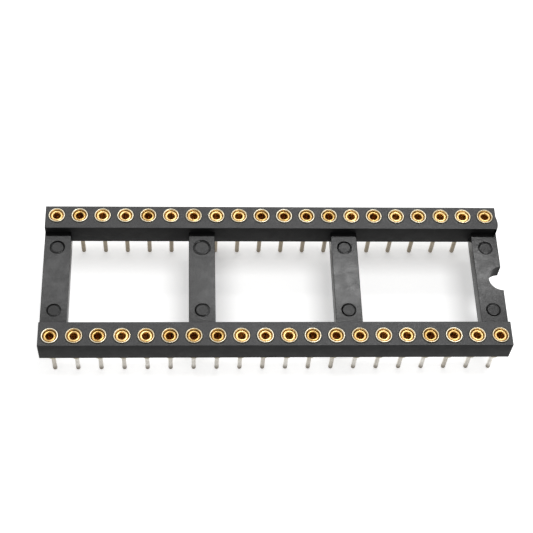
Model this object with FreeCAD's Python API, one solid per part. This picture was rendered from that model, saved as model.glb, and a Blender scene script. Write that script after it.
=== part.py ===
"""Open-frame socket for a 40-lead dual in-line chip, with turned contacts.

A moulded ladder frame joins two rails with four crossbars. Each rail holds twenty turned
sleeves, and each sleeve holds a spring clip that grips one lead of the chip. The tail of each
sleeve goes through the circuit board and is soldered there.

Millimetres. +X runs along the rails and points to the polarity notch, +Z is up. The origin is
the middle of the contact pattern, on the top of the board, where the sleeve shoulders sit.
"""
import FreeCAD, Part
import math
import os

# Contact pattern
CONTACTS_PER_ROW = 20
PITCH = 2.54
ROW_SPACING = 15.24

# Moulded frame
STAND_OFF = 1.3            # board to the underside of the frame
RAIL_HEIGHT = 2.8
RAIL_OUTER_MARGIN = 1.22   # contact line to the outer face of its rail
RAIL_INNER_MARGIN = 1.66   # contact line to the inner face of its rail
RAIL_END_MARGIN = 1.27     # last contact to the end of the rail
HOLE_SIDES = 8             # the flats of each moulded hole grip the round sleeve
BAR_COUNT = 4
BAR_WIDTH = 2.9
BAR_DROP = 0.9             # top of the rails to the top of the crossbars
NOTCH_RADIUS = 1.5
GATE_RISE = 0.17           # stub of the moulding gate, on the +X end of the back rail
GATE_FOOT = 1.6            # its width on the end of the rail
GATE_HEAD = 0.5            # its width where it was broken off
GATE_HEIGHT = 1.2          # its height, down from the top of the rail
GATE_TO_INNER_FACE = 0.8   # its middle from the inner face of the rail

# Turned sleeve: a cup in the frame, and a slimmer shoulder that stands on the board
SLEEVE_DIAMETER = 1.83
RIM_RISE = 0.1             # sleeve rim above the top of the rail
BORE_DIAMETER = 1.3
CUP_FLOOR = 0.3            # metal between the bore and the shoulder
CUP_SIDES = 12             # the round cup and its bore are drawn with this many flats
SHOULDER_DIAMETER = 1.35
SHOULDER_SIDES = 8         # the round shoulder is drawn with this many flats
TAIL_DIAMETER = 0.5
TAIL_LENGTH = 3.4

# Spring clip
CLIP_SHEET = 0.08
CLIP_THROAT = 0.44         # square gap between the leaves at their lower ends
CLIP_DEPTH = 0.2           # clip mouth below the sleeve rim
CLIP_TO_FLOOR = 0.1        # lower ends of the leaves above the floor of the bore

# Radial clearances of the press fits
FRAME_TO_SLEEVE = 0.01
SLEEVE_TO_CLIP = 0.01

# Sizes that follow
rail_top = STAND_OFF + RAIL_HEIGHT
rim_height = rail_top + RIM_RISE
bore_floor = STAND_OFF + CUP_FLOOR
clip_foot = bore_floor + CLIP_TO_FLOOR
clip_height = rim_height - CLIP_DEPTH - clip_foot
row_y = ROW_SPACING / 2
rail_inner_y = row_y - RAIL_INNER_MARGIN
frame_length = (CONTACTS_PER_ROW - 1) * PITCH + 2 * RAIL_END_MARGIN
bar_length = 2 * rail_inner_y
sleeve_radius = SLEEVE_DIAMETER / 2
bore_radius = BORE_DIAMETER / 2
shoulder_radius = SHOULDER_DIAMETER / 2
tail_radius = TAIL_DIAMETER / 2


def contact_x(index):
    """Place along the rail of contact 0, 1, 2 and so on, counted from the -X end."""
    return (index - (CONTACTS_PER_ROW - 1) / 2) * PITCH


def block(x_middle, y_low, z_low, length, width, height):
    """Rectangular block, centred on x_middle."""
    corner = FreeCAD.Vector(x_middle - length / 2, y_low, z_low)
    return Part.makeBox(length, width, height, corner)


def upright(corners, z_low, z_high):
    """Solid with the given (x, y) corners as its plan, from z_low to z_high."""
    points = [FreeCAD.Vector(x, y, z_low) for x, y in corners]
    outline = Part.makePolygon(points + points[:1])
    return Part.Face(outline).extrude(FreeCAD.Vector(0, 0, z_high - z_low))


def prism(sides, corner_radius, x, y, z_low, z_high, turn=0.0):
    """Upright prism, closed at both ends. turn is the angle of its first corner from +X."""
    angles = [turn + 2 * math.pi * side / sides for side in range(sides)]
    corners = [(x + corner_radius * math.cos(a), y + corner_radius * math.sin(a)) for a in angles]
    return upright(corners, z_low, z_high)


def rail(side):
    """One rail with its row of through holes. side is -1 for the front row, +1 for the back."""
    width = RAIL_OUTER_MARGIN + RAIL_INNER_MARGIN
    middle = side * (row_y + (RAIL_OUTER_MARGIN - RAIL_INNER_MARGIN) / 2)
    bar = block(0, middle - width / 2, STAND_OFF, frame_length, width, RAIL_HEIGHT)
    half_side_angle = math.pi / HOLE_SIDES
    corner_radius = (sleeve_radius + FRAME_TO_SLEEVE) / math.cos(half_side_angle)
    holes = [
        prism(HOLE_SIDES, corner_radius, contact_x(index), side * row_y, STAND_OFF, rail_top,
              half_side_angle)
        for index in range(CONTACTS_PER_ROW)
    ]
    return bar.cut(holes)


def crossbar(index):
    """Crossbar 0, 1, 2 and so on from the -X end, lower than the rails and flush below them."""
    reach = frame_length - BAR_WIDTH
    x_middle = -reach / 2 + index * reach / (BAR_COUNT - 1)
    height = RAIL_HEIGHT - BAR_DROP
    return block(x_middle, -bar_length / 2, STAND_OFF, BAR_WIDTH, bar_length, height)


def gate_stub():
    """What is left of the moulding gate: a low pad that narrows to where it was broken off."""
    face_x = frame_length / 2
    y = rail_inner_y + GATE_TO_INNER_FACE
    corners = [
        (face_x, y - GATE_FOOT / 2),
        (face_x + GATE_RISE, y - GATE_HEAD / 2),
        (face_x + GATE_RISE, y + GATE_HEAD / 2),
        (face_x, y + GATE_FOOT / 2),
    ]
    return upright(corners, rail_top - GATE_HEIGHT, rail_top)


def frame():
    """The ladder: two rails, the crossbars and the half-round notch that marks contact 1."""
    bars = [crossbar(index) for index in range(BAR_COUNT)]
    ladder = rail(-1).fuse([rail(1), gate_stub()] + bars)
    notch_foot = FreeCAD.Vector(frame_length / 2, 0, STAND_OFF)
    notch = Part.makeCylinder(NOTCH_RADIUS, RAIL_HEIGHT, notch_foot)
    return ladder.cut(notch).removeSplitter()


def sleeve(x, y):
    """Turned sleeve: a cup with a blind bore, a slimmer shoulder and the round tail under it."""
    cup = prism(CUP_SIDES, sleeve_radius, x, y, STAND_OFF, rim_height)
    bore = prism(CUP_SIDES, bore_radius, x, y, bore_floor, rim_height)
    shoulder = prism(SHOULDER_SIDES, shoulder_radius, x, y, 0, STAND_OFF)
    tail = Part.makeCylinder(tail_radius, TAIL_LENGTH, FreeCAD.Vector(x, y, -TAIL_LENGTH))
    return cup.cut(bore).fuse([shoulder, tail])


def square_funnel(side_low, side_high, height):
    """Solid with a square foot at z 0 and a square top, centred on the Z axis."""
    low = side_low / 2
    high = side_high / 2
    funnel = Part.makeWedge(-low, 0, -low, -high, -high, low, height, low, high, high)
    funnel.rotate(FreeCAD.Vector(0, 0, 0), FreeCAD.Vector(1, 0, 0), 90)
    return funnel


def clip(x, y):
    """Spring clip: four walls of thin sheet that lean in from the mouth to a square throat."""
    mouth_corner_radius = bore_radius * math.cos(math.pi / CUP_SIDES) - SLEEVE_TO_CLIP
    mouth = mouth_corner_radius * math.sqrt(2)
    outer = square_funnel(CLIP_THROAT + 2 * CLIP_SHEET, mouth, clip_height)
    inner = square_funnel(CLIP_THROAT, mouth - 2 * CLIP_SHEET, clip_height)
    walls = outer.cut(inner)
    walls.translate(FreeCAD.Vector(x, y, clip_foot))
    return walls


def save(shape, name):
    """Write one sub-part to its own file."""
    shape.exportStep("parts/" + name + ".step")


def main():
    """Build the frame, then the sleeves and clips of the front and the back row."""
    os.makedirs("parts", exist_ok=True)
    save(frame(), "frame")
    for row_name, side in (("front", -1), ("back", 1)):
        clips = []
        for index in range(CONTACTS_PER_ROW):
            x = contact_x(index)
            y = side * row_y
            save(sleeve(x, y), "sleeve_%s_%02d" % (row_name, index + 1))
            clips.append(clip(x, y))
        save(Part.makeCompound(clips), "clips_" + row_name)


main()
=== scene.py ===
"""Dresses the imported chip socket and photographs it.

The moulded ladder gets its rounded edges, round holes and ejector marks, the sleeves get their
turned profile, and the spring clips get their lips and slit leaves. The sizes below are in
millimetres, as in the part's source, and every finished mesh is in metres.
"""

import bmesh
import bpy
import numpy as np
from mathutils import Matrix


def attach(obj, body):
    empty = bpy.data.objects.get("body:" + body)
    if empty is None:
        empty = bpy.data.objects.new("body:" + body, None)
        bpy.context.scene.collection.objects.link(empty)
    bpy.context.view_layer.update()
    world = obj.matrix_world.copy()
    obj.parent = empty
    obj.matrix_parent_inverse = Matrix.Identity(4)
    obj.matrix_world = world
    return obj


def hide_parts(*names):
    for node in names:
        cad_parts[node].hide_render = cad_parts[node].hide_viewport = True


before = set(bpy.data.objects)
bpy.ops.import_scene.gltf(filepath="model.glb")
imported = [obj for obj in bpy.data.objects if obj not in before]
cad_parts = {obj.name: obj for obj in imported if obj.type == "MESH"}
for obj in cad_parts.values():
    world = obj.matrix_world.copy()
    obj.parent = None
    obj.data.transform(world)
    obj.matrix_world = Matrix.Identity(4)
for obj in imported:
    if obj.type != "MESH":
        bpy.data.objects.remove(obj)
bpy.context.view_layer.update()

MM = 0.001
MERGE = 2e-4            # points nearer to each other than this become one
SEED = 40               # starts the random draws

# Contact pattern
CONTACTS = 20
PITCH = 2.54
ROW_Y = 7.62
ROWS = (("front", -1), ("back", 1))
ROW_NUMBER = 50.0       # tells the rows apart where a finish counts the contacts

# Moulded ladder
HALF_LENGTH = 25.4
RAIL_OUTER = 8.84
RAIL_INNER = 5.96
RAIL_TOP = 4.1
BAR_TOP = 3.2
UNDERSIDE = 1.3
BAR_WIDTH = 2.9
BAR_COUNT = 4
BAR_IN_RAIL = 0.4       # how far a bar runs on inside the rails before the two are joined
EDGE_RADIUS = 0.05
EDGE_STEPS = 3
CELL_STEPS = 11         # segments along each side of the square round a hole or mark
HOLD = 0.03             # strip inside the edges of a flat face, to take up the turn of normals
LADDER_CREASE = 40      # faces that meet at more degrees than this keep a sharp edge

# Radius and height of the moulded hole, from the top of the rail to its underside
HOLE_PROFILE = (
    (1.01, RAIL_TOP), (0.985, RAIL_TOP), (0.955, RAIL_TOP - 0.02), (0.94, RAIL_TOP - 0.06),
    (0.94, 3.45), (0.90, 3.36), (0.73, 3.32), (0.72, 3.25), (0.72, 1.42), (0.735, 1.35),
    (0.78, UNDERSIDE),
)

# Ejector marks, either side of the middle of a bar
MARK_Y = 4.0
MARK_CELL = 1.25        # half the square round a mark
# Radius and depth of a mark, from outside to its middle
MARK_PROFILE = (
    (0.80, 0.0), (0.755, 0.0), (0.74, 0.04), (0.72, 0.16), (0.67, 0.21), (0.63, 0.15),
    (0.595, 0.05), (0.57, 0.035), (0.53, 0.035), (0.30, 0.035), (0.15, 0.036), (0.0, 0.038),
)
# Each bar's front and back mark: size, depth, and the direction in degrees and share of its lean
MARKS = (
    ((1.06, 0.50, 125, 0.6), (1.12, 0.55, 80, 0.65)),
    ((1.11, 0.46, 180, 0.5), (1.30, 0.32, 80, 0.7)),
    ((1.11, 0.70, -160, 0.45), (1.11, 0.58, 95, 1.0)),
    ((1.10, 0.62, -120, 0.35), (1.10, 0.42, 115, 0.6)),
)
# Shares of the outermost radius: the disc that the lean leaves level, and the step round it
MARK_DISC, MARK_STEP = 0.715, 0.028

# Half-round notch in the last bar, and the heights between which its cutter stands
NOTCH_RADIUS = 1.5
NOTCH_CUT = (0.5, 5.0)
NOTCH_STEPS = 96

# Stub of the moulding gate on the end of the back rail
STUB_Y = 6.76
STUB_HALF_WIDTH = 0.8
STUB_RISE = 0.1649      # how far it stands out
STUB_ROOT = 0.3         # how far it runs on inside the rail
STUB_FILL = 0.8         # power of the cosine, below 1 for a fuller shape
STUB_STEPS = 16
# Height and share of the rise, from the foot of the stub to its top
STUB_PROFILE = (
    (2.9, 0.0), (2.92, 0.75), (2.97, 1.0), (3.5, 1.0), (4.02, 1.0), (4.07, 0.8),
    (RAIL_TOP - 0.005, 0.45),
)

# Radius and height of the turned sleeve, from the end of its tail to the floor of its bore
SLEEVE_PROFILE = (
    (0.0, -3.4), (0.12, -3.395), (0.19, -3.365), (0.235, -3.30), (0.25, -3.22), (0.25, -2.2),
    (0.25, -1.1), (0.25, -0.12), (0.262, -0.05), (0.30, -0.012), (0.34, 0.0), (0.59, 0.0),
    (0.645, 0.018), (0.675, 0.07), (0.675, 0.55), (0.675, 1.2), (0.675, 3.20), (0.69, 3.29),
    (0.87, 3.36), (0.90, 3.40), (0.912, 3.46), (0.912, 4.10), (0.906, 4.145), (0.888, 4.178),
    (0.862, 4.196), (0.835, 4.2), (0.808, 4.194), (0.788, 4.172), (0.765, 4.12), (0.742, 4.05),
    (0.732, 3.98), (0.73, 3.90), (0.73, 3.3), (0.715, 3.2), (0.65, 3.1), (0.65, 1.72),
    (0.62, 1.63), (0.55, 1.6), (0.0, 1.6),
)
SLEEVE_STEPS = 48
SLEEVE_CREASE = 50

# Radius and height of the middle of the clip's sheet, from its edge in the bore to its lower ends
CLIP_PROFILE = (
    (0.700, 3.60), (0.702, 3.80), (0.696, 3.89), (0.670, 3.955), (0.630, 4.01), (0.588, 4.045),
    (0.545, 4.065), (0.500, 4.055), (0.458, 4.015), (0.428, 3.94), (0.407, 3.84), (0.392, 3.68),
    (0.372, 3.40), (0.338, 3.02), (0.300, 2.60), (0.245, 2.24), (0.215, 2.04), (0.225, 1.88),
    (0.250, 1.76),
)
CLIP_SHEET = 0.05               # thickness of the sheet
CLIP_STEPS = 32
CLIP_CREASE = 60
CLIP_LEAVES = 4
CLIP_CROWN_ROW = 7              # first row of the profile inside the crown of the lip
CLIP_COLLAR_ROWS = 10           # rows of the profile that the slits leave whole
CLIP_PETAL = 0.02               # share of the radius that makes the throat four-lobed
CLIP_SPREAD = (-0.03, 0.10)     # share of the radius by which leaves are closed or opened
CLIP_TILT = 0.045               # most that a clip leans to either side, in radians
COLLAR_HEIGHT = 3.75            # middle of the collar, about which a clip leans


# ---- meshes

def grid(points, close_columns=False):
    """Faces over a grid of points, rows by columns; the last column may join the first."""
    rows, columns = points.shape[:2]
    number = np.arange(rows * columns).reshape(rows, columns)
    if close_columns:
        number = np.hstack([number, number[:, :1]])
    faces = np.stack(
        [number[:-1, :-1], number[:-1, 1:], number[1:, 1:], number[1:, :-1]], axis=-1
    )
    return points.reshape(-1, 3), faces.reshape(-1, 4)


def mesh_object(name, surfaces, scale=MM):
    """One object from several grids: equal points are joined and faces are turned outwards."""
    sizes = [len(points) for points, _ in surfaces]
    starts = np.concatenate([[0], np.cumsum(sizes)[:-1]])
    points = np.concatenate([points for points, _ in surfaces]) * scale
    faces = np.concatenate([faces + start for (_, faces), start in zip(surfaces, starts)])
    mesh = bpy.data.meshes.new(name)
    mesh.from_pydata(points, [], faces.tolist())
    build = bmesh.new()
    build.from_mesh(mesh)
    bmesh.ops.remove_doubles(build, verts=build.verts, dist=MERGE * scale)
    bmesh.ops.recalc_face_normals(build, faces=build.faces)
    build.to_mesh(mesh)
    build.free()
    made = bpy.data.objects.new(name, mesh)
    bpy.context.scene.collection.objects.link(made)
    return made


def smooth(piece, crease_angle):
    """Smooth shading that stays sharp where faces meet at more than the crease angle."""
    mesh = piece.data
    mesh.polygons.foreach_set("use_smooth", np.ones(len(mesh.polygons), bool))
    mesh.set_sharp_from_angle(angle=np.radians(crease_angle))


def rectangle(xs, ys):
    """The points round a rectangle, anticlockwise, from the samples along x and along y."""
    low, right = np.full(len(xs) - 1, ys[0]), np.full(len(ys) - 1, xs[-1])
    high, left = np.full(len(xs) - 1, ys[-1]), np.full(len(ys) - 1, xs[0])
    x = np.concatenate([xs[:-1], right, xs[:0:-1], left])
    y = np.concatenate([low, ys[:-1], high, ys[:0:-1]])
    return np.stack([x, y], axis=-1)


def plate(xs, ys, height):
    """Flat face: every x sample with every y sample, at one height.

    The first and the last x sample get a neighbour a strip's width inside them.
    """
    xs = np.concatenate([xs[:1], xs[:1] + HOLD, xs[1:-1], xs[-1:] - HOLD, xs[-1:]])
    x, y = np.meshgrid(xs, ys)
    return grid(np.stack([x, y, np.full_like(x, height)], axis=-1))


def ringed_cell(xs, ys, centre, profile, height_out=None, lean=(0.0, 0.0)):
    """Face between a rectangle and rings round a centre, as a radius and height profile.

    Each ring point lies on the ray from the centre to its point of the rectangle, and a strip
    runs inside the rectangle. With height_out the last ring is joined to the same rectangle at
    that height. Outside the disc of a mark, the depth of a ring is multiplied by
    1 + share * cos(angle - direction), with the direction and share of the lean, so that a
    groove is deeper on one side.
    """
    border = rectangle(xs, ys)
    middle = np.array([(xs[0] + xs[-1]) / 2, (ys[0] + ys[-1]) / 2])
    half = np.array([np.ptp(xs), np.ptp(ys)]) / 2
    inside = middle + (border - middle) * (1 - HOLD / half)
    ray = border - centre
    ray = ray / np.linalg.norm(ray, axis=1, keepdims=True)
    radius, height = np.array(profile).T
    rings = centre + radius[:, None, None] * ray
    rows = [border[None], inside[None], rings]
    heights = [profile[0][1], profile[0][1], *height]
    if height_out is not None:
        rows += [inside[None], border[None]]
        heights += [height_out, height_out]
    plan = np.concatenate(rows)
    direction, share = lean
    angle = np.arctan2(ray[:, 1], ray[:, 0])
    outward = np.linalg.norm(plan - centre, axis=-1) / profile[0][0]
    leaning = share * np.clip((outward - MARK_DISC) / MARK_STEP, 0, 1)
    drop = (np.array(heights) - profile[0][1])[:, None]
    levels = profile[0][1] + drop * (1 + leaning * np.cos(angle - np.radians(direction)))
    return grid(np.concatenate([plan, levels[..., None]], axis=-1), close_columns=True)


def rounded_side(xs, ys, low, high, radius):
    """Side wall of a block with rounded edges.

    The plan outline moves out along its normal by radius * sin(a) and down by
    radius * (1 - cos(a)), a from 0 to 90 degrees, then straight down and back in the same way.
    Each plan corner is repeated while its normal turns from one side to the next.
    """
    turn = np.linspace(0, np.pi / 2, EDGE_STEPS + 1)
    sides = (
        (np.stack([xs, np.full_like(xs, ys[0])], -1), -np.pi / 2),
        (np.stack([np.full_like(ys, xs[-1]), ys], -1), 0.0),
        (np.stack([xs[::-1], np.full_like(xs, ys[-1])], -1), np.pi / 2),
        (np.stack([np.full_like(ys, xs[0]), ys[::-1]], -1), np.pi),
    )
    plan = np.concatenate(
        [np.concatenate([side, np.repeat(side[-1:], EDGE_STEPS - 1, axis=0)]) for side, _ in sides]
    )
    facing = np.concatenate(
        [np.concatenate([np.full(len(side), angle), angle + turn[1:-1]]) for side, angle in sides]
    )
    normal = np.stack([np.cos(facing), np.sin(facing)], axis=-1)
    out = radius * np.concatenate([np.sin(turn), np.sin(turn[::-1])])
    fall = radius * (1 - np.cos(turn))
    height = np.concatenate([high - fall, low + fall[::-1]])
    outline = plan[None] + out[:, None, None] * normal[None]
    levels = np.broadcast_to(height[:, None, None], outline.shape[:2] + (1,))
    return grid(np.concatenate([outline, levels], axis=-1), close_columns=True)


def turned(profile, x, y, steps):
    """Surface of revolution: the radius and height of a profile carried round a vertical axis."""
    radius, height = np.array(profile).T
    angle = np.linspace(0, 2 * np.pi, steps, endpoint=False)
    points = np.stack(
        [
            x + radius[:, None] * np.cos(angle),
            y + radius[:, None] * np.sin(angle),
            np.broadcast_to(height[:, None], (len(radius), steps)),
        ],
        axis=-1,
    )
    return grid(points, close_columns=True)


def contact_x(index):
    """Where contact number index stands along its row, counted from 0 on the left."""
    return (index - (CONTACTS - 1) / 2) * PITCH


# ---- the moulded ladder

def rail(side):
    """A rail: one ringed cell for each hole, top and underside at once, and a rounded side."""
    y_one, y_two = sorted((side * RAIL_INNER, side * RAIL_OUTER))
    ys = np.linspace(y_one + EDGE_RADIUS, y_two - EDGE_RADIUS, CELL_STEPS + 1)
    reach = HALF_LENGTH - EDGE_RADIUS
    borders = np.clip(contact_x(np.arange(CONTACTS + 1) - 0.5), -reach, reach)
    surfaces, all_xs = [], [borders[:1]]
    for index in range(CONTACTS):
        xs = np.linspace(borders[index], borders[index + 1], CELL_STEPS + 1)
        all_xs.append(xs[1:])
        centre = np.array([contact_x(index), side * ROW_Y])
        surfaces.append(ringed_cell(xs, ys, centre, HOLE_PROFILE, UNDERSIDE))
    surfaces.append(rounded_side(np.concatenate(all_xs), ys, UNDERSIDE, RAIL_TOP, EDGE_RADIUS))
    return mesh_object("rail", surfaces, scale=1)


def crossbar(index):
    """A crossbar: flat stretches and two ejector marks on top, a flat underside, rounded sides."""
    reach = HALF_LENGTH - BAR_WIDTH / 2
    middle = -reach + index * 2 * reach / (BAR_COUNT - 1)
    half = BAR_WIDTH / 2 - EDGE_RADIUS
    end = RAIL_INNER + BAR_IN_RAIL - EDGE_RADIUS
    xs = np.linspace(middle - half, middle + half, CELL_STEPS + 1)
    near, far = MARK_Y - MARK_CELL, MARK_Y + MARK_CELL
    stops = (-end, -far, -near, near, far, end)
    stretches = [np.linspace(a, b, CELL_STEPS + 1) for a, b in zip(stops[:-1], stops[1:])]
    surfaces = []
    for number, ys in enumerate(stretches):
        if number % 2:
            size, deep, direction, share = MARKS[index][number // 2]
            mark = [(size * radius, BAR_TOP - deep * depth) for radius, depth in MARK_PROFILE]
            centre = np.array([middle, ys.mean()])
            surfaces.append(ringed_cell(xs, ys, centre, mark, lean=(direction, share)))
        else:
            surfaces.append(plate(xs, ys, BAR_TOP))
    all_ys = np.concatenate([stretches[0][:1]] + [ys[1:] for ys in stretches])
    surfaces.append(plate(xs, all_ys, UNDERSIDE))
    surfaces.append(rounded_side(xs, all_ys, UNDERSIDE, BAR_TOP, EDGE_RADIUS))
    return mesh_object("bar", surfaces, scale=1)


def gate_stub():
    """What is left of the moulding gate: a low swelling on the end of the rail.

    It stands out by rise * share * cos(90 degrees * along) ** fill, with along from -1 to 1
    across its width, and the share at each height from its profile. Flat faces close it above,
    below and inside the rail.
    """
    along = np.linspace(-1, 1, STUB_STEPS + 1)
    height, share = np.array(STUB_PROFILE).T[..., None]
    x = HALF_LENGTH + STUB_RISE * share * np.cos(along * np.pi / 2) ** STUB_FILL
    y = np.broadcast_to(STUB_Y + STUB_HALF_WIDTH * along, x.shape)
    z = np.broadcast_to(height, x.shape)
    outer = np.stack([x, y, z], axis=-1)
    inner = outer.copy()
    inner[..., 0] = HALF_LENGTH - STUB_ROOT
    loop = np.concatenate([outer, inner[:, ::-1]], axis=1)
    top, foot = (
        grid(np.stack([edge[:len(along)], edge[len(along):][::-1]])) for edge in (loop[-1], loop[0])
    )
    return mesh_object("stub", [grid(loop, close_columns=True), top, foot], scale=1)


def notch_cutter():
    """Upright cylinder that cuts the half-round notch in the last crossbar."""
    low, high = NOTCH_CUT
    profile = ((0, low), (NOTCH_RADIUS, low), (NOTCH_RADIUS, high), (0, high))
    return mesh_object("cutter", [turned(profile, HALF_LENGTH, 0, NOTCH_STEPS)], scale=1)


def join(base, others, operation):
    """Adds or cuts closed meshes, one after the other, and keeps the result in base."""
    for other in others:
        step = base.modifiers.new("join", "BOOLEAN")
        step.operation = operation
        step.solver = "EXACT"
        step.object = other
    view = bpy.context.evaluated_depsgraph_get()
    joined = bpy.data.meshes.new_from_object(base.evaluated_get(view))
    base.modifiers.clear()
    base.data = joined
    for other in others:
        bpy.data.objects.remove(other)


def moulded_ladder():
    """Two rails, four crossbars and the gate stub made one solid, with the notch cut out."""
    ladder = rail(-1)
    join(ladder, [crossbar(index) for index in range(BAR_COUNT)] + [rail(1), gate_stub()], "UNION")
    join(ladder, [notch_cutter()], "DIFFERENCE")
    ladder.name = ladder.data.name = "moulded_ladder"
    ladder.data.transform(Matrix.Scale(MM, 4))
    smooth(ladder, LADDER_CREASE)
    return ladder


# ---- the contacts

def turned_sleeve(name, x, y):
    """A sleeve with its solder tail: the turned profile, closed on the axis at both ends."""
    sleeve = mesh_object(name, [turned(SLEEVE_PROFILE, x, y, SLEEVE_STEPS)])
    smooth(sleeve, SLEEVE_CREASE)
    return sleeve


def slit_funnel(x, y, turn, spread, tilt):
    """Middle of a clip's sheet: its profile carried round, with slits below the collar.

    The radius is multiplied by 1 + spread * depth, with a depth of 0 at the crown and 1 at the
    lower ends, as leaves that a lead has opened. Inside the crown it is also multiplied by
    1 + petal * cos(leaves * angle), because each leaf is flatter than the circle. Then the clip
    is turned about its axis and leans by two small angles about the middle of its collar.
    """
    radius, height = np.array(CLIP_PROFILE).T
    depth = (height.max() - height) / np.ptp(height)
    radius = radius * (1 + spread * depth)
    points, faces = turned(np.stack([radius, height], -1), 0, 0, CLIP_STEPS)
    angle = np.arctan2(points[:, 1], points[:, 0])
    leafed = np.repeat(np.arange(len(radius)) >= CLIP_CROWN_ROW, CLIP_STEPS)
    points[:, :2] *= (1 + leafed * CLIP_PETAL * np.cos(CLIP_LEAVES * angle))[:, None]
    points = points @ np.array(
        [[np.cos(turn), np.sin(turn), 0], [-np.sin(turn), np.cos(turn), 0], [0, 0, 1]]
    )
    collar = np.array([0, 0, COLLAR_HEIGHT])
    points = (points - collar) @ np.array(
        [[1, 0, -tilt[0]], [0, 1, -tilt[1]], [tilt[0], tilt[1], 1]]
    ) + collar
    row, column = np.divmod(np.arange(len(faces)), CLIP_STEPS)
    slit = (row >= CLIP_COLLAR_ROWS) & (column % (CLIP_STEPS // CLIP_LEAVES) == 0)
    return points + np.array([x, y, 0]), faces[~slit]


def spring_clips(name, side, draw):
    """The clips of one row, each turned, opened and tilted a little differently."""
    turns = draw.uniform(0, 2 * np.pi, CONTACTS)
    spreads = draw.uniform(*CLIP_SPREAD, CONTACTS)
    tilts = draw.uniform(-CLIP_TILT, CLIP_TILT, (CONTACTS, 2))
    funnels = [
        slit_funnel(contact_x(index), side * ROW_Y, turns[index], spreads[index], tilts[index])
        for index in range(CONTACTS)
    ]
    clips = mesh_object(name, funnels)
    wall = clips.modifiers.new("sheet", "SOLIDIFY")
    wall.thickness = CLIP_SHEET * MM
    wall.offset = 0
    smooth(clips, CLIP_CREASE)
    return clips


# ---- nodes

def is_output(value):
    """Whether a value is the output of a node, rather than a number or a colour."""
    return hasattr(value, "is_output")


class Wiring:
    """Short calls that add shader nodes to a tree, link them and give back their outputs."""

    def __init__(self, tree):
        self.tree = tree

    def node(self, kind):
        """A new shader node of the kind."""
        return self.tree.nodes.new("ShaderNode" + kind)

    def link(self, source, socket):
        """Links an output to a socket, or sets the socket to a number or colour."""
        if is_output(source):
            self.tree.links.new(source, socket)
        else:
            socket.default_value = source

    def maths(self, operation, *values, clamp=False):
        """One calculation on numbers or outputs, kept between 0 and 1 where clamp is set."""
        node = self.node("Math")
        node.operation = operation
        node.use_clamp = clamp
        for value, socket in zip(values, node.inputs):
            self.link(value, socket)
        return node.outputs[0]

    def plus(self, one, two, clamp=False):
        return self.maths("ADD", one, two, clamp=clamp)

    def times(self, one, two):
        return self.maths("MULTIPLY", one, two)

    def size_of(self, value):
        return self.maths("ABSOLUTE", value)

    def split(self, vector):
        """The parts of a vector along X, Y and Z."""
        node = self.node("SeparateXYZ")
        self.link(vector, node.inputs[0])
        return node.outputs

    def combine(self, x, y, z):
        """The vector with these three parts."""
        node = self.node("CombineXYZ")
        for value, socket in zip((x, y, z), node.inputs):
            self.link(value, socket)
        return node.outputs[0]

    def noise(self, vector, scale, detail=2.0, roughness=0.5, stretch=None):
        """Noise at a vector, whose x, y and z are first multiplied by the stretch."""
        node = self.node("TexNoise")
        node.inputs["Scale"].default_value = scale
        node.inputs["Detail"].default_value = detail
        node.inputs["Roughness"].default_value = roughness
        if stretch:
            mapping = self.node("Mapping")
            mapping.inputs["Scale"].default_value = stretch
            self.link(vector, mapping.inputs["Vector"])
            vector = mapping.outputs[0]
        self.link(vector, node.inputs["Vector"])
        return node.outputs["Fac"]

    def between(self, value, low, high, to_low=0.0, to_high=1.0, curve="SMOOTHSTEP"):
        """Goes from to_low to to_high, along the curve, while the value goes from low to high."""
        node = self.node("MapRange")
        node.interpolation_type = curve
        for socket, given in zip(node.inputs, (value, low, high, to_low, to_high)):
            self.link(given, socket)
        return node.outputs[0]

    def part_way(self, share, one, two):
        """The number that lies a share of the way from one to two."""
        return self.between(share, 0.0, 1.0, one, two, "LINEAR")

    def blend(self, share, one, two):
        """The colour that lies a share of the way from one to two."""
        node = self.node("Mix")
        node.data_type = "RGBA"
        colours = [socket for socket in node.inputs if socket.type == "RGBA"]
        self.link(share, node.inputs["Factor"])
        for given, socket in zip((one, two), colours):
            self.link(given if is_output(given) else (*given, 1.0), socket)
        return [socket for socket in node.outputs if socket.type == "RGBA"][0]

    def rays(self):
        """Whether a ray comes from the camera, and whether it was mirrored or transmitted."""
        path = self.node("LightPath").outputs
        mirrored = self.maths("MAXIMUM", path["Is Glossy Ray"], path["Is Transmission Ray"])
        return path["Is Camera Ray"], mirrored


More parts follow.
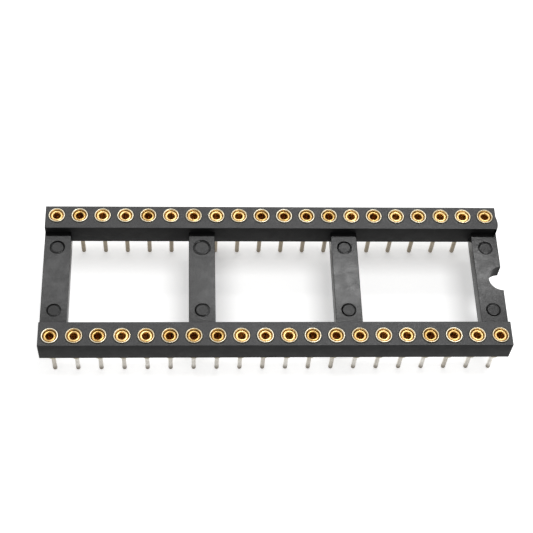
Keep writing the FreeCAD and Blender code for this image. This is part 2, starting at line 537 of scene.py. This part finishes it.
class Finish(Wiring):
    """A material under construction, with the place on the piece in millimetres."""

    def __init__(self, name):
        self.material = bpy.data.materials.new(name)
        self.material.use_nodes = True
        super().__init__(self.material.node_tree)
        self.shader = self.tree.nodes["Principled BSDF"].inputs
        scale = self.node("VectorMath")
        scale.operation = "SCALE"
        scale.inputs["Scale"].default_value = 1 / MM
        self.link(self.node("TexCoord").outputs["Object"], scale.inputs[0])
        self.place = scale.outputs[0]

    def set(self, name, value):
        """Gives a socket of the shader a number or colour, or the output of a node."""
        self.link(value, self.shader[name])

    def bump(self, height, distance, strength, under=None):
        """The normal of a surface raised by the height times the distance in millimetres."""
        node = self.node("Bump")
        node.inputs["Distance"].default_value = distance * MM
        self.link(strength, node.inputs["Strength"])
        self.link(height, node.inputs["Height"])
        if under is not None:
            self.link(under, node.inputs["Normal"])
        return node.outputs[0]

    def give(self, pieces, slot):
        """Puts the material on the pieces; the slot is not used."""
        for piece in pieces:
            piece.data.materials.clear()
            piece.data.materials.append(self.material)

    def contact_place(self):
        """Distance from the nearest contact's axis, height, and a number for each contact.

        The number counts the contacts along x from the middle. The back row has its row number
        added and the front row has it taken away.
        """
        x, y, z = self.split(self.place)
        count = self.maths("DIVIDE", x, PITCH)
        across = self.times(self.maths("SUBTRACT", self.maths("FRACT", count), 0.5), PITCH)
        along = self.maths("SUBTRACT", self.size_of(y), ROW_Y)
        squares = self.plus(self.maths("POWER", across, 2.0), self.maths("POWER", along, 2.0))
        row = self.times(self.maths("SIGN", y), ROW_NUMBER)
        return self.maths("SQRT", squares), z, self.plus(self.maths("FLOOR", count), row)


# ---- finishes

# Each noise is given by its scale per millimetre, its detail and its roughness, each bump by its
# height in millimetres and its strength, and a noise runs between the colours of each pair.
# Spans of a noise that are stretched to the whole range of a tone:
NOISE = (0.3, 0.7)
NARROW_NOISE = (0.35, 0.65)

# Black plastic
PLASTIC_BLACK = ((0.0020, 0.0020, 0.0021), (0.0034, 0.0034, 0.0036))
PLASTIC_ERODED = ((0.038, 0.038, 0.0385), (0.046, 0.046, 0.047))
PLASTIC_SPECULAR = 0.3
BAR_TO_RAIL = (3.3, 3.9)        # heights
BAR_TO_DISC = (3.193, 3.186)    # heights, from the top of a bar to the disc of a mark
SKEW_TO_SQUARE = (0.35, 0.9)    # size of the normal's part along an axis
BAR_ROUGH, DISC_ROUGH, RAIL_ROUGH = 0.13, 0.22, 0.27    # level faces
SIDE_ROUGH, END_ROUGH = 0.60, 0.25                      # faces that look along y and along x
FLOW_ROUGH, GRAIN_ROUGH = 0.03, 0.05                    # most that each noise adds or takes
GRAIN, GRAIN_BUMP = (16.0, 3.0, 0.6), 0.004
PITS, PIT_BUMP = (3.0, 2.0, 0.55), 0.014
FLOW, FLOW_BUMP = (1.0, 2.0, 0.5), (0.006, 0.22)
FLOW_STRETCH = (0.9, 1.1, 1.1)
CLOUD = (0.9, 3.0, 0.55)
# Strength of the bumps below the rails and on them
GRAIN_STRENGTH = (0.22, 1.0)
PIT_STRENGTH = (0.18, 1.0)


def black_moulding():
    """Black moulded polyester: spark-eroded grain on the rails, a smoother face on the bars.

    Only level faces at the height of the rails have the paler, eroded colour. Three bumps lie
    over each other: the flow of the plastic, shallow pits and the fine grain, of which the last
    two are weaker below the rails.
    """
    finish = Finish("black_moulding")
    height = finish.split(finish.place)["Z"]
    on_rail = finish.between(height, *BAR_TO_RAIL)
    on_disc = finish.between(height, *BAR_TO_DISC)
    normal = finish.split(finish.node("NewGeometry").outputs["Normal"])
    level = finish.between(finish.size_of(normal["Z"]), *SKEW_TO_SQUARE)
    endwise = finish.between(finish.size_of(normal["X"]), *SKEW_TO_SQUARE)
    grain = finish.noise(finish.place, *GRAIN)
    cloud = finish.noise(finish.place, *CLOUD)
    flow = finish.noise(finish.place, *FLOW, FLOW_STRETCH)
    pits = finish.noise(finish.place, *PITS)

    tone = finish.between(cloud, *NOISE)
    black = finish.blend(tone, *PLASTIC_BLACK)
    eroded = finish.blend(tone, *PLASTIC_ERODED)
    finish.set("Base Color", finish.blend(finish.times(level, on_rail), black, eroded))

    upper = finish.part_way(on_rail, finish.part_way(on_disc, BAR_ROUGH, DISC_ROUGH), RAIL_ROUGH)
    upright = finish.part_way(endwise, SIDE_ROUGH, END_ROUGH)
    rough = finish.part_way(level, upright, upper)
    rough = finish.plus(rough, finish.between(flow, *NOISE, -FLOW_ROUGH, FLOW_ROUGH))
    rough = finish.plus(rough, finish.between(grain, *NOISE, -GRAIN_ROUGH, GRAIN_ROUGH), clamp=True)
    finish.set("Roughness", rough)
    finish.set("Specular IOR Level", PLASTIC_SPECULAR)

    broad = finish.bump(flow, *FLOW_BUMP)
    middle = finish.bump(pits, PIT_BUMP, finish.part_way(on_rail, *PIT_STRENGTH), broad)
    fine = finish.bump(grain, GRAIN_BUMP, finish.part_way(on_rail, *GRAIN_STRENGTH), middle)
    finish.set("Normal", fine)
    return finish


# Gold flash of the sleeves
FLASH_GOLD = ((0.73, 0.67, 0.51), (0.79, 0.74, 0.60))
# darker, warmer gold: a contact's own warmer tone, and painted shade in the bore
FLASH_WARM_AND_BORE_SHADE = (0.46, 0.39, 0.26)
TAIL_PALE = ((0.62, 0.57, 0.49), (1.0, 0.97, 0.91))
# painted shade: the tails of the back row are darker, as they stand in the shade under the part
TAIL_BACK_SHADE = (0.42, 0.34, 0.23)
# painted shade: the darker colour of the tips stands in for the contact shadow that each tip
# mirrors
TAIL_END_SHADE = (0.34, 0.30, 0.25)
FRONT_TO_BACK = (-1.0, 1.0)         # y
RIM_TO_BORE = (0.80, 0.74)          # distance from the axis, over which the painted shade of the bore sets in
BELOW_TO_BORE = (3.0, 3.3)          # heights, here and in the next two
SHOULDER_TO_TAIL = (0.25, -0.6)
TAIL_TO_END = (-2.1, -3.2)
OWN_WARMTH = 0.75                   # most that a contact's own tone warms its gold
SMEAR_WEAR, OWN_WEAR = 0.35, 0.65   # most that smears and its own tone make a tail paler
BACK_SHADE_SHARE, BACK_TIP_SHADE = 0.75, 0.2    # how far the back tails take their painted shade, and the share of the tips' painted shade that they keep
FLASH_ROUGH = (0.26, 0.36)
END_ROUGHER = 0.12
RINGS, RING_BUMP = (22.0, 2.0, 0.6), (0.0015, 0.6)
SMEARS = (2.5, 3.0, 0.6)
OWN_FLASH = (7.31, 0.0)             # noise of the number that gives a contact its own tone


def sleeve_finish():
    """Turned brass with a thin gold flash, with fine turning rings.

    Each contact has its own tone. The gold is darker and warmer in the bore, which is painted
    shade, and gives way to pale, worn metal on the tail, darker and rougher at its end. The darker
    end is painted shade, the contact shadow that the tip mirrors. The tails of the back row are
    darker along their length, which is painted shade, and keep less of the darkened end.
    """
    finish = Finish("sleeve_gold_flash")
    radius, height, number = finish.contact_place()
    rings = finish.noise(finish.combine(radius, height, number), *RINGS)
    smears = finish.noise(finish.place, *SMEARS)
    own = finish.noise(finish.combine(number, 0.0, 0.0), *OWN_FLASH)
    back = finish.between(finish.split(finish.place)["Y"], *FRONT_TO_BACK)
    tail = finish.between(height, *SHOULDER_TO_TAIL)
    # painted shade at the tips of the tails, of which the back row keeps only a share
    end = finish.times(finish.between(height, *TAIL_TO_END), finish.part_way(back, 1.0, BACK_TIP_SHADE))

    gold = finish.blend(finish.between(smears, *NARROW_NOISE), *FLASH_GOLD)
    # painted shade: the inner wall of the bore takes the darker, warmer gold
    bore = finish.times(
        finish.between(radius, *RIM_TO_BORE), finish.between(height, *BELOW_TO_BORE)
    )
    warmth_and_bore_shade = finish.maths("MAXIMUM", bore, finish.between(own, *NARROW_NOISE, 0.0, OWN_WARMTH))
    shaded = finish.blend(warmth_and_bore_shade, gold, FLASH_WARM_AND_BORE_SHADE)
    worn = finish.plus(
        finish.between(smears, *NOISE, 0.0, SMEAR_WEAR),
        finish.between(own, *NARROW_NOISE, 0.0, OWN_WEAR),
    )
    pale = finish.blend(worn, *TAIL_PALE)
    # painted shade along the tails of the back row
    pale = finish.blend(finish.times(back, BACK_SHADE_SHARE), pale, TAIL_BACK_SHADE)
    plated = finish.blend(tail, shaded, pale)
    finish.set("Base Color", finish.blend(end, plated, TAIL_END_SHADE))

    finish.set("Metallic", 1.0)
    rough = finish.between(smears, *NOISE, *FLASH_ROUGH)
    finish.set("Roughness", finish.plus(rough, finish.times(end, END_ROUGHER)))
    finish.set("Normal", finish.bump(rings, *RING_BUMP))
    return finish


# Gold plate of the clips
CLIP_GOLD = ((0.88, 0.61, 0.26), (0.60, 0.385, 0.135))
# painted light: a brighter, redder gold in the throat, for the light mirrored round inside it
CLIP_THROAT_LIGHT = ((1.0, 0.70, 0.39), (0.98, 0.60, 0.27))
COLLAR_TO_THROAT = (3.85, 2.9)      # heights
THROAT_LIGHT_SHARE = 0.9                    # how far the throat takes its painted light
PLATE_ROUGH = (0.22, 0.34)
DEEP_ROUGHER = 0.12
DRAWN, DRAWN_BUMP = (9.0, 2.0, 0.5), (0.003, 0.6)
DRAWN_STRETCH = (1.0, 1.0, 0.2)
OWN_PLATE = (5.17, 0.0)             # noise of the number that gives a clip its own tone


def clip_finish():
    """Gold-plated spring: deeper gold, drawn along the leaves, rougher in the throat, where a
    brighter, redder gold is painted light mirrored round inside it.
    """
    finish = Finish("clip_gold_plate")
    _, height, number = finish.contact_place()
    drawn = finish.noise(finish.place, *DRAWN, DRAWN_STRETCH)
    own = finish.noise(finish.combine(number, 3.0, 0.0), *OWN_PLATE)
    depth = finish.between(height, *COLLAR_TO_THROAT)
    tone = finish.between(own, *NARROW_NOISE)
    gold = finish.blend(tone, *CLIP_GOLD)
    deep = finish.blend(tone, *CLIP_THROAT_LIGHT)
    # painted light in the throat, growing from the collar down
    finish.set("Base Color", finish.blend(finish.times(depth, THROAT_LIGHT_SHARE), gold, deep))
    finish.set("Metallic", 1.0)
    rough = finish.between(drawn, *NOISE, *PLATE_ROUGH)
    finish.set("Roughness", finish.plus(rough, finish.times(depth, DEEP_ROUGHER)))
    finish.set("Normal", finish.bump(drawn, *DRAWN_BUMP))
    return finish


# ---- studio

PAPER_REACH = 1500.0
PAPER_HEIGHT = -3.4                 # at the tips of the tails
PAPER_WHITE = ((0.80, 0.80, 0.80), (0.84, 0.84, 0.84))
PAPER_ROUGH = 0.9
FIBRE = (3.0, 4.0, 0.6)
# Zones of the paper: the x or y where each begins and where it is full
BEFORE_Y = (-2.0, -5.5)
BESIDE_X = (23.5, 26.0)
BEHIND_Y = (7.6, 8.2)
STRIP_FRONT_Y = (-7.9, -7.4)        # a strip under the front rail
STRIP_BACK_Y = (-5.2, -5.8)
SHADE_LEFT_X = (-9.6, -7.0)         # a shade to the right of the second bar
SHADE_RIGHT_X = (-2.8, -7.2)
SHADE_BACK_Y = (12.5, 2.5)
# Glow for the camera: in the windows from one x to another, the share of it that the shade
# leaves, and the glow outside
WINDOW_GLOW = (-20.0, 20.0, 0.49, 0.39)
SHADE_GLOW = 0.22
OUTSIDE_GLOW = 0.65
# Glow for mirrored rays: in the windows, outside, and what the strip and the back add
MIRRORED_WINDOW, MIRRORED_OUTSIDE, MIRRORED_MORE = 0.15, 0.27, 0.35


def white_floor():
    """Flat white paper under the tails, to which the camera and reflections add a glow.

    The glow for the camera falls a little from left to right in the windows, is least to the
    right of the second bar, and is greatest before and beside the part.
    """
    xs = np.linspace(-PAPER_REACH, PAPER_REACH, 3)
    floor = mesh_object("paper", [plate(xs, xs, PAPER_HEIGHT)])
    finish = Finish("white_paper")
    fibre = finish.noise(finish.place, *FIBRE)
    finish.set("Base Color", finish.blend(fibre, *PAPER_WHITE))
    finish.set("Roughness", PAPER_ROUGH)
    finish.set("Specular IOR Level", 0.0)
    finish.set("Emission Color", (1, 1, 1, 1))

    x, y, _ = finish.split(finish.place)
    outside = finish.maths(
        "MAXIMUM", finish.between(y, *BEFORE_Y), finish.between(finish.size_of(x), *BESIDE_X)
    )
    shade = finish.times(finish.between(x, *SHADE_LEFT_X), finish.between(x, *SHADE_RIGHT_X))
    shade = finish.times(shade, finish.between(y, *SHADE_BACK_Y))
    windows = finish.between(x, *WINDOW_GLOW, "LINEAR")
    windows = finish.times(windows, finish.part_way(shade, 1.0, SHADE_GLOW))
    glow = finish.part_way(outside, windows, OUTSIDE_GLOW)

    strip = finish.times(finish.between(y, *STRIP_FRONT_Y), finish.between(y, *STRIP_BACK_Y))
    more = finish.maths("MAXIMUM", strip, finish.between(y, *BEHIND_Y))
    reflected = finish.part_way(outside, MIRRORED_WINDOW, MIRRORED_OUTSIDE)
    reflected = finish.plus(reflected, finish.times(more, MIRRORED_MORE))

    seen, mirrored = finish.rays()
    strength = finish.plus(finish.times(seen, glow), finish.times(mirrored, reflected))
    finish.set("Emission Strength", strength)
    floor.data.materials.append(finish.material)


SURROUND_LIGHT = 0.46
FRONT_MIRRORED = (-0.8, 0.0, 0.30, 1.0)     # from the front round to the side, by y
SIDES_MIRRORED = (0.2, 0.8, 1.0, 1.6)       # from the middle out to the sides, by the size of x


def studio_world():
    """Even pale surround for the light, pure white where the camera looks at it.

    Mirrored rays see a darker front and paler sides, by the direction they take.
    """
    world = bpy.data.worlds.new("studio")
    world.use_nodes = True
    bpy.context.scene.world = world
    sky = Wiring(world.node_tree)
    surround = world.node_tree.nodes["Background"].inputs
    x, y, _ = sky.split(sky.node("TexCoord").outputs["Generated"])
    boards = sky.times(
        sky.between(y, *FRONT_MIRRORED), sky.between(sky.size_of(x), *SIDES_MIRRORED)
    )
    seen, mirrored = sky.rays()
    level = sky.part_way(seen, sky.part_way(mirrored, SURROUND_LIGHT, boards), 1.0)
    sky.link((1, 1, 1, 1), surround["Color"])
    sky.link(level, surround["Strength"])


# Name, place, sides and brightness of each lamp
LAMPS = (
    ("overhead", (92, 27, 400), (163, 149), 9.5),
    ("back", (-19, 235, 400), (340, 36), 4.7),
    ("strip", (67, 235, 400), (124, 14), 9.6),
)
LAMP_UP = (0, 1, 0.01)      # direction to which a lamp's upper side is turned


def softbox(name, place, sides, radiance):
    """Rectangular lamp aimed at the middle of the part. Its power is pi * area * radiance."""
    light = bpy.data.lights.new(name, "AREA")
    light.shape = "RECTANGLE"
    light.size, light.size_y = (side * MM for side in sides)
    light.energy = np.pi * light.size * light.size_y * radiance
    lamp = bpy.data.objects.new(name, light)
    place = np.array(place, float) * MM
    back = place / np.linalg.norm(place)
    side = np.cross(LAMP_UP, back)
    side /= np.linalg.norm(side)
    up = np.cross(back, side)
    axes = [[side[i], up[i], back[i], place[i]] for i in range(3)]
    lamp.matrix_world = Matrix(axes + [[0, 0, 0, 1]])
    bpy.context.scene.collection.objects.link(lamp)


# The photograph's view
PHOTO_WIDTH = 533           # pixels, as the focal length
FOCAL_LENGTH = 1329.34
CAMERA_PLACE = (-9.67, -74.66, 128.89)
CAMERA_TURNS = ((-6.6097, "Z"), (31.3858, "X"), (5.71, "Z"))    # degrees
SENSOR_WIDTH = 36.0
SIGHT = (0.005, 20)         # nearest and farthest that the camera sees, in metres


def camera():
    """The photograph's view: set in its place, turned about Z, then tilted, then rolled."""
    view = bpy.data.cameras.new("camera")
    view.sensor_width = SENSOR_WIDTH
    view.lens = FOCAL_LENGTH / PHOTO_WIDTH * SENSOR_WIDTH
    view.clip_start, view.clip_end = SIGHT
    seat = bpy.data.objects.new("camera", view)
    turn, tilt, roll = (Matrix.Rotation(np.radians(angle), 4, axis) for angle, axis in CAMERA_TURNS)
    seat.matrix_world = Matrix.Translation(np.array(CAMERA_PLACE) * MM) @ (turn @ tilt @ roll)
    bpy.context.scene.collection.objects.link(seat)
    bpy.context.scene.camera = seat


# ---- the scene

draw = np.random.default_rng(SEED)
ladder = moulded_ladder()
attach(ladder, "root")
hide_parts("frame")

sleeves, clips = [], []
for row, side in ROWS:
    for index in range(CONTACTS):
        node = "sleeve_%s_%02d" % (row, index + 1)
        sleeve = turned_sleeve("turned_" + node, contact_x(index), side * ROW_Y)
        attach(sleeve, "root")
        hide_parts(node)
        sleeves.append(sleeve)
    row_clips = spring_clips("spring_clips_" + row, side, draw)
    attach(row_clips, "root")
    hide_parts("clips_" + row)
    clips.append(row_clips)

black_moulding().give([ladder], "frame_plastic")
sleeve_finish().give(sleeves, "sleeve_gold")
clip_finish().give(clips, "clip_gold")

white_floor()
studio_world()
for lamp in LAMPS:
    softbox(*lamp)
camera()
bpy.context.scene.view_settings.view_transform = "Standard"
